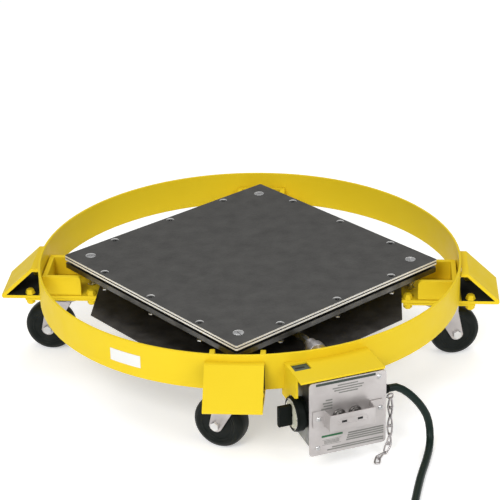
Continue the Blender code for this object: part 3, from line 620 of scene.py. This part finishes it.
def make_lead():
    """The mains lead from its gland to its plug, with the plug and the strap. Returns its length."""
    coil = coil_path()
    run = CORD_ROUTE + [(0.2278, -0.4900, CORD_REST), (0.2200, -0.5240, CORD_REST), tuple(coil[0])]
    plug = refined("cord_plug", "rubber", 0.0005, 2, plug_face, ("brass",))
    rear = Vector((PLUG_REAR + 0.006, COIL_CENTRE[1] - COIL_MEAN_RADIUS - CORD_DIAMETER / 2, 0.0132))
    tail = [coil[-1], Vector((0.1330, rear.y, 0.0160)), Vector((0.1200, rear.y, 0.0140)), rear]
    path = smooth_path(run, 0.011)[:-1] + coil[:-1] + smooth_path(tail, 0.009)
    solids = ("power_cord", "cord_coil")
    lead = tube("mains_lead", path, CORD_DIAMETER / 2, "rubber", "chassis", solids)
    tie = make_tie()
    length = sum((b - a).length for a, b in zip(path, path[1:]))
    return length


def plug_face(face):
    """The plug's blades and pin are brass. They lie beyond the end of the moulded body."""
    body_length = 0.0641
    return 1 if face.center.x < PLUG_REAR - body_length else 0


def make_tie():
    """A strap round the coil's turns."""
    centre = Vector((*COIL_CENTRE, 0.0112))
    half_wide, half_high, corner = 0.0118, 0.0109, 0.005
    half_strap, thick = 0.004, 0.0009
    outline = []
    for quarter, (sx, sz) in enumerate([(1, 1), (-1, 1), (-1, -1), (1, -1)]):
        for k in range(5):
            angle = radians(90 * quarter + 22.5 * k)
            x = sx * (half_wide - corner) + corner * cos(angle)
            z = sz * (half_high - corner) + corner * sin(angle)
            outline.append((x, z))
    soup = bmesh.new()
    rings = []
    for offset in (-half_strap, half_strap):
        for grow in (0.0, thick):
            ring = []
            for x, z in outline:
                size = hypot(x, z)
                x, z = x * (1 + grow / size), z * (1 + grow / size)
                ring.append(soup.verts.new((COIL_MEAN_RADIUS + x, offset, max(z, -half_high))))
            rings.append(ring)
    order = [rings[0], rings[1], rings[3], rings[2]]
    for first, second in zip(order, order[1:] + order[:1]):
        for k in range(len(outline)):
            n = (k + 1) % len(outline)
            soup.faces.new([first[k], first[n], second[n], second[k]])
    bmesh.ops.recalc_face_normals(soup, faces=soup.faces)
    mesh = mesh_of(soup, "tie")
    mesh.transform(Matrix.Translation(centre) @ around(65))
    return finished("lead_tie", mesh, ("plastic",), "chassis")


lead_length = make_lead()
print(f"lead length {lead_length:.3f}")


# ---------------------------------------------------------------- chassis
def near_bolt(face):
    """A caster plate and its bolts are yellow. The race and the kingpin below it are zinc."""
    centre = face.center
    for angle in SIDES.values():
        local = around(-angle) @ centre
        x, y = local.x - CASTER_PIVOT, local.y
        if abs(x) < 0.08 and abs(y) < 0.06:
            on_bolt = hypot(abs(x) - BOLT_ROW, abs(y) - BOLT_SPREAD) < 0.0090
            return 1 if centre.z < CASTER_PLATE_BOTTOM - 0.00005 and not on_bolt else 0
    return 0


def under_hood(angle):
    """Painted shade inside a hood: the faces under its slope and its top strip, and over the base strip, take
    a near-black colour where shadow falls.
    """

    def choose(face):
        turn = around(-angle)
        centre, normal = turn @ face.center, turn.to_3x3() @ face.normal
        below = normal.z < -0.5 and centre.z > BAND_BOTTOM + 0.002
        above = normal.z > 0.9 and centre.z < BAND_BOTTOM + 0.010 and centre.x > BAND_RADIUS
        return 1 if below or above else 0

    return choose


def behind_hood(face):
    """Painted shade on the band's outer face where a hood covers it."""
    if face.center.z > HOOD_INNER_TOP:
        return 0
    for angle in SIDES.values():
        turn = around(-angle)
        centre, normal = turn @ face.center, turn.to_3x3() @ face.normal
        if abs(centre.y) < HOOD_HALF_WIDTH and centre.x > 0 and normal.x > 0.9:
            return 1
    return 0


def make_wheel(side, angle):
    """A moulded wheel with a crowned tread, shallow steps on its sides, and a hub."""
    half, radius = WHEEL_HALF_WIDTH, WHEEL_RADIUS
    upper = [
        (0.00545, half - 0.0002),
        (0.0110, half - 0.0002),
        (0.0118, half - 0.0022),
        (0.0222, half - 0.0024),
        (0.0232, half - 0.0012),
        (0.0262, half - 0.0012),
        (0.0270, half - 0.0004),
        (0.0306, half - 0.0004),
        (0.0318, half - 0.0012),
        (0.0352, half - 0.0030),
        (0.0374, half - 0.0070),
        (radius, half - 0.0120),
    ]
    profile = rounded(upper + [(r, -h) for r, h in reversed(upper)], 0.0012)
    mesh = turned(profile, 96, closed=True)
    mesh.transform(swivel_frame(side, angle) @ at(CASTER_TRAIL, 0, WHEEL_RADIUS) @ LEFTWARDS)
    node = f"caster_wheel_{side}"
    finished(f"wheel_tyre_{side}", mesh, ("wheel",), f"wheel_{side}", (node,))


def swivel_frame(side, angle):
    """The frame of a caster's fork: Z up the kingpin, X towards the axle."""
    return around(angle) @ at(CASTER_PIVOT, 0, 0) @ around(CASTER_DIRECTIONS[side] - angle)


def make_band():
    """The band, its faces split where the hoods cover it, so that the covered faces take a painted shade."""
    splits = [((0, 0, HOOD_INNER_TOP), (0, 0, 1))]
    for reach in (-HOOD_HALF_WIDTH, HOOD_HALF_WIDTH):
        splits += [((reach, 0, 0), (1, 0, 0)), ((0, reach, 0), (0, 1, 0))]
    refined("ring_band", "yellow", 0.0013, 3, behind_hood, ("hood_shade",), splits)


def row_splits(angle):
    """Planes through the rows of holes in an outrigger and its caster plate, and one at the band's face."""
    outward = around(angle) @ Vector((1, 0, 0))
    across = around(angle) @ Vector((0, 1, 0))
    bolt_rows = (CASTER_PIVOT - BOLT_ROW, CASTER_PIVOT, CASTER_PIVOT + BOLT_ROW)
    rows = (POST_DISTANCE, *bolt_rows, BAND_RADIUS + 0.0005)
    return [(outward * reach, outward) for reach in rows] + [((0, 0, 0), across)]


def make_chassis():
    make_band()
    for side, angle in SIDES.items():
        splits = row_splits(angle)
        # the faces inside each hood take a painted shade
        shaded = under_hood(angle)
        refined(f"outrigger_{side}", "yellow", 0.0009, 2, shaded, ("hood_shade",), splits)
        refined(f"support_lug_{side}", "yellow", 0.0010)
        refined(f"caster_plate_{side}", "yellow", 0.0004, 2, near_bolt, ("zinc",), splits)
        refined(f"caster_fork_{side}", "zinc", 0.0008)
        refined(f"caster_axle_{side}", "steel", 0.0006)
        make_wheel(side, angle)


make_chassis()


# ---------------------------------------------------------------- heater
def on_edge(face):
    """A plate's cut edges are bright."""
    return 1 if abs(face.normal.z) < 0.75 else 0


def make_post(side, slot_turn):
    """A guide screw: a slotted head in the plate's recess, a shank and a nut under the caster plate."""
    top = HEATER_TOP - GAP
    under_head = top - 0.0016
    shank = 0.0038
    nut_top = CASTER_PLATE_BOTTOM - 0.0004
    nut_bottom = nut_top - 0.0050
    end = nut_top - 0.0075
    screw = [(0, top), (POST_HEAD_RADIUS, top), (POST_HEAD_RADIUS, under_head), (shank, under_head)]
    screw += [(shank, end + 0.0005), (shank - 0.0004, end), (0, end)]
    slot = moved(block((-0.02, -0.0008, top - 0.0011), (0.02, 0.0008, top + 0.01)), around(slot_turn))
    nut = [(0.0041, nut_top), (0.0074, nut_top), (0.0074, nut_bottom), (0.0041, nut_bottom)]
    hexagon = turned(nut, 6, closed=True)
    mesh = joined(cut(turned(rounded(screw, 0.0004), 64), slot), eased_mesh(hexagon, 0.0004))
    mesh.transform(around(SIDES[side]) @ at(POST_DISTANCE, 0, 0))
    node = f"heater_post_{side}"
    finished(f"{node}_piece", mesh, ("steel",), nodes[node]["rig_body"], (node,))


def make_edge_screws():
    """Twelve socket screws that clamp the heater's layers along its edges."""
    top = HEATER_TOP - 0.0012
    socket, under_head = top - 0.0020, top - 0.0017
    nut_top, nut_bottom = EDGE_SCREW_END + 0.0032, EDGE_SCREW_END + 0.0006
    outline = [(0, socket), (0.0026, socket), (0.0026, top), (0.0057, top), (0.0057, under_head)]
    outline += [(0.0028, under_head), (0.0028, EDGE_SCREW_END)]
    outline += [(0.0020, EDGE_SCREW_END - 0.0005), (0, EDGE_SCREW_END - 0.0005)]
    # a thin disc at the floor of each socket, near black as painted shade
    floor = [(0, top - 0.0018), (0.0025, top - 0.0018), (0.0025, top - 0.00195), (0, top - 0.00195)]
    nut = [(0, nut_top), (0.0050, nut_top), (0.0050, nut_bottom), (0, nut_bottom)]
    screw = joined(
        (turned(rounded(outline, 0.0005), 40), 0),
        (turned(floor, 6), 1),
        (eased_mesh(turned(nut, 6), 0.0004), 2),
    )
    parts = []
    for quarter in range(4):
        for offset in EDGE_SCREW_OFFSETS:
            parts.append(moved(screw, around(45 + 90 * quarter) @ at(EDGE_SCREW_REACH, offset, 0)))
    looks = ("dark_screw", "painted_hole_shade", "steel")
    finished("heater_edge_screws", joined(*parts), looks, "heater")


def make_heater():
    refined("heater_plate", "plate", 0.0003, 2, on_edge, ("bright_edge",))
    refined("clamp_plate", "plate", 0.0003, 2, on_edge, ("bright_edge",))
    refined("heater_pan", "pan", 0.0006)
    refined("heating_mat", "mat", 0.0002)
    refined("insulation_board", "insulation", 0.0008)
    refined("heat_shield", "shield", 0.0004)
    refined("terminal_box", "galvanised", 0.0012)
    for turn, side in enumerate(SIDES):
        make_post(side, 35 + 50 * turn)
        spring = nodes[f"heater_spring_{side}"].data
        spring.materials.clear()
        spring.materials.append(LOOKS["steel"])
    make_edge_screws()


make_heater()


# ---------------------------------------------------------------- control box
def screw_head(radius, high):
    """A domed head standing on the plane of zero height, with a crossed recess in its top."""
    dome = [(0, high), (radius * 0.5, high * 0.93), (radius * 0.85, high * 0.55), (radius, 0), (0, 0)]
    slot = block((-radius * 0.6, -radius * 0.13, high * 0.5), (radius * 0.6, radius * 0.13, high * 2))
    return cut(turned(dome, 40), moved(slot, around(30)), moved(slot, around(120)))


def make_breaker(side, across):
    """A breaker's body behind the panel and its plated bush, with the reset button in it."""
    place = BOX @ at(0, across, BREAKER_HEIGHT)
    front = PANEL_FRONT
    hole = 0.0049
    bush = [
        (hole, front - 0.0120),
        (hole, front + 0.0046),
        (0.0054, front + 0.0055),
        (0.0062, front + 0.0052),
        (0.0065, front + 0.0036),
        (0.0084, front + 0.0030),
        (0.0090, front + 0.0020),
        (0.0090, front + GAP),
        (0.0070, front + GAP),
        (0.0070, front - 0.0120),
    ]
    body = cut(block((0.3380, -0.0080, -0.0100), (0.3657, 0.0080, 0.0100), 0.0006), bore(hole, 0.3560, 0.40))
    mesh = joined((body, 1), (moved(turned(rounded(bush, 0.0003), 64, closed=True), OUTWARDS), 0))
    mesh.transform(place)
    node = f"breaker_{side}"
    finished(f"{node}_piece", mesh, ("breaker_ring", "plastic"), "chassis", (node,))
    profile = [(0, BUTTON_FRONT), (0.0048, BUTTON_FRONT), (0.0048, 0.3600), (0, 0.3600)]
    button = moved(turned(rounded(profile, 0.0009), 64), place @ OUTWARDS)
    node = f"breaker_button_{side}"
    finished(f"{node}_piece", button, ("plastic",), nodes[node]["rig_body"], (node,))


def bore(radius, start, end):
    """A rod along X that cuts a hole."""
    return moved(turned([(0, end), (radius, end), (radius, start), (0, start)], 48), OUTWARDS)


def make_thermostat():
    """Bezel, plated dial with its pale face, and the bar knob."""
    place = BOX @ at(DIAL_CENTRE[0], 0, DIAL_CENTRE[1]) @ RIGHTWARDS
    wall = -BOX_HALF_WIDTH - GAP
    bezel = [
        (0.0031, BEZEL_FRONT),
        (0.0031, wall),
        (0.0215, wall),
        (0.0215, wall - 0.0046),
        (BEZEL_RADIUS, wall - 0.0054),
        (BEZEL_RADIUS, BEZEL_FRONT),
        (0.0031, BEZEL_FRONT),
    ]
    mesh = moved(turned(rounded(bezel, 0.0010), 96), place)
    finished("thermostat_bezel_piece", mesh, ("plastic",), "chassis", ("thermostat_bezel",))
    back = BEZEL_FRONT - GAP
    rim, plated = DIAL_RADIUS - 0.0019, DIAL_RADIUS - 0.0046
    outer = [(rim, back), (rim, back - 0.0024), (DIAL_RADIUS, back - 0.0020), (DIAL_RADIUS, back)]
    ring = [(plated, back), (plated, back - 0.0020), (rim, back - 0.0027), (rim, back)]
    face = [(0.0033, back), (0.0033, back - 0.0019), (plated, back - 0.0019), (plated, back)]
    profiles = ((rounded(outer, 0.0005), 3), (rounded(ring, 0.0004), 0), (face, 1))
    parts = [(turned(profile, 96, closed=True), look) for profile, look in profiles]
    tick = block((-0.0003, plated - 0.0034, back - 0.00198), (0.0003, plated - 0.0006, back - 0.0010))
    parts += [(moved(tick, around(30 * k)), 2) for k in range(-5, 6)]
    mesh = moved(joined(*parts), place)
    node = "thermostat_dial"
    looks = ("chrome", "dial_face", "ink", "plastic")
    finished(f"{node}_piece", mesh, looks, nodes[node]["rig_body"], (node,))
    refined("thermostat_knob", "plastic", 0.0007)


def on_panel(mesh, across, height, out):
    """The mesh moved to a place in front of the panel, at a reach out from the dolly's axis."""
    return moved(mesh, BOX @ at(out + 0.00005, across, height) @ OUTWARDS)


def bar(left, right, height, thick):
    """A printed bar on the panel, between two places across it and centred at a height."""
    ink = 0.00012
    low = (PANEL_FRONT, left, height - thick / 2)
    high = (PANEL_FRONT + ink, right, height + thick / 2)
    return moved(block(low, high), BOX)


def make_panel_print():
    """Generic bars where a panel has its title, its notes and its ratings."""
    bars = [(bar(-0.0440, 0.0415, 0.1392, 0.0038), 0)]
    notes = ((-0.0130, 0.0160), (-0.0203, 0.0245), (-0.0179, 0.0222), (-0.0114, 0.0162))
    for row, (left, right) in enumerate(notes):
        bars.append((bar(left, right, 0.1333 - 0.0037 * row, 0.0018), 1))
    for row, left in enumerate((-0.0302, -0.0344, -0.0330, -0.0367)):
        bars.append((bar(left, -0.0205, 0.1140 - 0.0042 * row, 0.0022), 1))
        bars.append((bar(0.0025 - 0.001 * row, 0.0540, 0.0578 - 0.0034 * row, 0.0022), 1))
    bars.append((bar(-0.0360, -0.0056, 0.0597, 0.0030), 2))
    for height in (0.0540, 0.0465):
        bars.append((bar(-0.0350, -0.0080, height, 0.0005), 1))
    for row in range(3):
        bars.append((bar(-0.0325, -0.0105, 0.0521 - 0.0018 * row, 0.0009), 1))
    bars.append((bar(-0.0210, 0.0540, 0.0410, 0.0020), 1))
    bars.append((bar(-0.0280, 0.0540, 0.0378, 0.0020), 1))
    looks = ("ink", "pale_ink", "green_ink")
    finished("panel_print", joined(*bars), looks, "chassis")


def make_panel_screws():
    """Two screws through the panel and two through the guard's wings."""
    head = screw_head(0.0036, 0.0018)
    on_guard = PANEL_FRONT + GUARD_SHEET
    places = [(0.0467, 0.1345, PANEL_FRONT), (-0.0413, 0.0434, PANEL_FRONT)]
    places += [(-0.0405, 0.0889, on_guard), (0.0481, 0.0876, on_guard)]
    heads = [on_panel(head, *place) for place in places]
    finished("panel_screws", joined(*heads), ("steel",), "chassis")


def make_guard_outline():
    """The raised outline round the guard's two slots."""
    radius = 0.0042
    path = []
    for middle, start in ((0.0185, -90), (-0.0160, 90)):
        for k in range(9):
            angle = radians(start + 22.5 * k)
            across, height = middle + radius * cos(angle), BREAKER_HEIGHT + radius * sin(angle)
            path.append(BOX @ Vector((GUARD_FRONT, across, height)))
    tube("guard_outline", path, 0.0005, "panel", "chassis", cyclic=True)


def make_window_backing():
    """A sheet behind the window in the bracket's top, the galvanised top's green-grey darkened as painted
    shade, with a near-black patch as the painted shadow of a slot.
    """
    window_shade = moved(block((0.3150, -0.0620, 0.1437), (0.3380, -0.0355, 0.1448)), BOX)
    keyhole = moved(block((0.3222, -0.0560, 0.1446), (0.3262, -0.0425, 0.1449)), BOX)
    mesh = joined((window_shade, 0), (keyhole, 1))
    finished("window_backing", mesh, ("window_shade", "painted_hole_shade"), "chassis")


def make_slot_shade():
    """A near-black plate inside each of the guard's slots, as painted shade where the slot shows only shadow.
    """
    half_wide, half_high = (size - 0.0002 for size in SLOT_HALF_SIZE)
    shade_plates = []
    for across in BREAKER_OFFSETS.values():
        low = (GUARD_FRONT - 0.0010, across - half_wide, BREAKER_HEIGHT - half_high)
        high = (GUARD_FRONT - 0.0005, across + half_wide, BREAKER_HEIGHT + half_high)
        shade_plates.append(moved(block(low, high), BOX))
    finished("painted_slot_shade", joined(*shade_plates), ("painted_hole_shade",), "chassis")


def make_label():
    """A blank label on the band, between two angles in degrees and two heights."""
    start, end, low, high = -123.7, -114.5, 0.1235, 0.1418
    inner, outer = BAND_RADIUS + 0.0001, BAND_RADIUS + 0.0004
    steps = 12
    soup = bmesh.new()
    columns = []
    for k in range(steps + 1):
        angle = radians(start + (end - start) * k / steps)
        column = []
        for reach, height in ((inner, low), (outer, low), (outer, high), (inner, high)):
            column.append(soup.verts.new((reach * cos(angle), reach * sin(angle), height)))
        columns.append(column)
    for first, second in zip(columns, columns[1:]):
        for k in range(4):
            n = (k + 1) % 4
            soup.faces.new([first[k], first[n], second[n], second[k]])
    for column in (columns[0], columns[-1]):
        soup.faces.new(column)
    bmesh.ops.recalc_face_normals(soup, faces=soup.faces)
    finished("blank_label", mesh_of(soup, "label"), ("label",), "chassis")


def in_slot(face):
    """The walls of the guard's two slots take a painted shade."""
    centre = around(-BOX_ANGLE) @ face.center
    half_wide, half_high = (size + 0.0002 for size in SLOT_HALF_SIZE)
    near = min(abs(centre.y - across) for across in BREAKER_OFFSETS.values()) < half_wide
    level = abs(centre.z - BREAKER_HEIGHT) < half_high
    inside = GUARD_FRONT - 0.0016 < centre.x < GUARD_FRONT - 0.00005
    return 1 if near and level and inside else 0


def make_controls():
    refined("control_bracket", "yellow", 0.0008)
    refined("control_enclosure", "galvanised", 0.0006)
    refined("control_panel", "panel", 0.0005)
    refined("button_guard", "panel", 0.0003, 2, in_slot, ("painted_hole_shade",))
    for side, across in BREAKER_OFFSETS.items():
        make_breaker(side, across)
    make_thermostat()
    refined("thermostat_body", "plastic", 0.0006)
    refined("cable_gland", "plastic", 0.0006)
    refined("conduit", "galvanised", 0.0003)
    refined("conduit_connector", "zinc", 0.0005)
    refined("chain_eye", "zinc", 0.0002)
    make_panel_screws()
    make_panel_print()
    make_guard_outline()
    make_window_backing()
    make_slot_shade()
    make_label()


make_controls()


# ---------------------------------------------------------------- chain
def link_mesh(length, width, wire, twist):
    """A closed link of twisted wire. It lies along Z, with its flat face across X."""
    count, sides = 32, 8
    straight = length - width
    soup = bmesh.new()
    path = []
    for k in range(count):
        angle = 2 * pi * k / count
        x = (width / 2 - wire / 2) * cos(angle)
        z = (width / 2 - wire / 2) * sin(angle) + (straight / 2 if sin(angle) > 0 else -straight / 2)
        if abs(sin(angle)) < 1e-6:
            z = 0.0
        turn = twist * z / length
        path.append(Vector((x * cos(turn), x * sin(turn), z)))
    rings = []
    for k in range(count):
        along = (path[(k + 1) % count] - path[k - 1]).normalized()
        side = along.cross(Vector((0, 1, 0.01))).normalized()
        other = along.cross(side)
        ring = []
        for s in range(sides):
            angle = 2 * pi * s / sides
            ring.append(soup.verts.new(path[k] + (side * cos(angle) + other * sin(angle)) * wire / 2))
        rings.append(ring)
    for k in range(count):
        first, second = rings[k], rings[(k + 1) % count]
        for s in range(sides):
            n = (s + 1) % sides
            soup.faces.new([first[s], first[n], second[n], second[s]])
    bmesh.ops.recalc_face_normals(soup, faces=soup.faces)
    return mesh_of(soup, "link")


def make_chain():
    """The grounding chain: links strung along its route, each turned a quarter from the last."""
    length, width, wire = 0.0195, 0.0094, 0.0027
    step = 0.001
    link = link_mesh(length, width, wire, radians(75))
    pitch = length - 2 * wire - 0.0004
    route = smooth_path([(0.3540, 0.0700, 0.0878), *CHAIN_ROUTE], step)
    reach = int(pitch / step + 0.5)
    parts = []
    for k, start in enumerate(range(0, len(route) - reach, reach)):
        top, bottom = route[start], route[start + reach]
        along = (top - bottom).normalized()
        turn = along.to_track_quat("Z", "X").to_matrix().to_4x4()
        lie = turn @ Matrix.Rotation(radians(90 * (k % 2) + 20), 4, "Z")
        parts.append(moved(link, BOX @ Matrix.Translation((top + bottom) / 2) @ lie))
    finished("grounding_chain", joined(*parts), ("zinc",), "chassis", ("ground_chain",), 60)


make_chain()


# ---------------------------------------------------------------- floor and light
def make_floor():
    """A pale floor that glows a little, so that it stays near white."""
    soup = bmesh.new()
    bmesh.ops.create_grid(soup, x_segments=2, y_segments=2, size=12.0)
    mesh = mesh_of(soup, "floor")
    made, tree, shader = new_material("pale_floor")
    base = ramp(tree, noise(tree, coordinates(tree), 3.0), 0.3, 0.7, (0.86, 0.86, 0.86), (0.88, 0.88, 0.88))
    tree.links.new(base, shader.inputs["Base Color"])
    shader.inputs["Roughness"].default_value = 0.9
    shader.inputs["Specular IOR Level"].default_value = 0.1
    shader.inputs["Emission Color"].default_value = (1, 1, 1, 1)
    shader.inputs["Emission Strength"].default_value = 0.42
    mesh.materials.append(made)
    linked("floor", mesh)


def area_light(name, place, size, energy):
    """A rectangular white light aimed at the dolly."""
    data = bpy.data.lights.new(name, "AREA")
    data.shape = "RECTANGLE"
    data.size, data.size_y = size
    data.energy = energy
    made = linked(name, data)
    aim = Vector((0, 0, 0.1)) - Vector(place)
    made.matrix_world = Matrix.Translation(place) @ aim.to_track_quat("-Z", "Y").to_matrix().to_4x4()


def make_light():
    """An even white surround with a key light on the left, a fill on the right and one from behind."""
    world = bpy.data.worlds.new("studio")
    bpy.context.scene.world = world
    world.use_nodes = True
    sky = world.node_tree.nodes["Background"]
    sky.inputs["Color"].default_value = (1, 1, 1, 1)
    sky.inputs["Strength"].default_value = 0.36
    area_light("key", (-0.8, -2.6, 2.1), (1.2, 1.0), 52)
    area_light("fill", (2.0, -1.8, 1.8), (1.2, 1.2), 22)
    area_light("top", (0.0, 1.2, 2.4), (2.4, 1.2), 22)
    bpy.context.scene.view_settings.view_transform = "Standard"
    bpy.context.scene.view_settings.look = "None"


make_floor()
make_light()
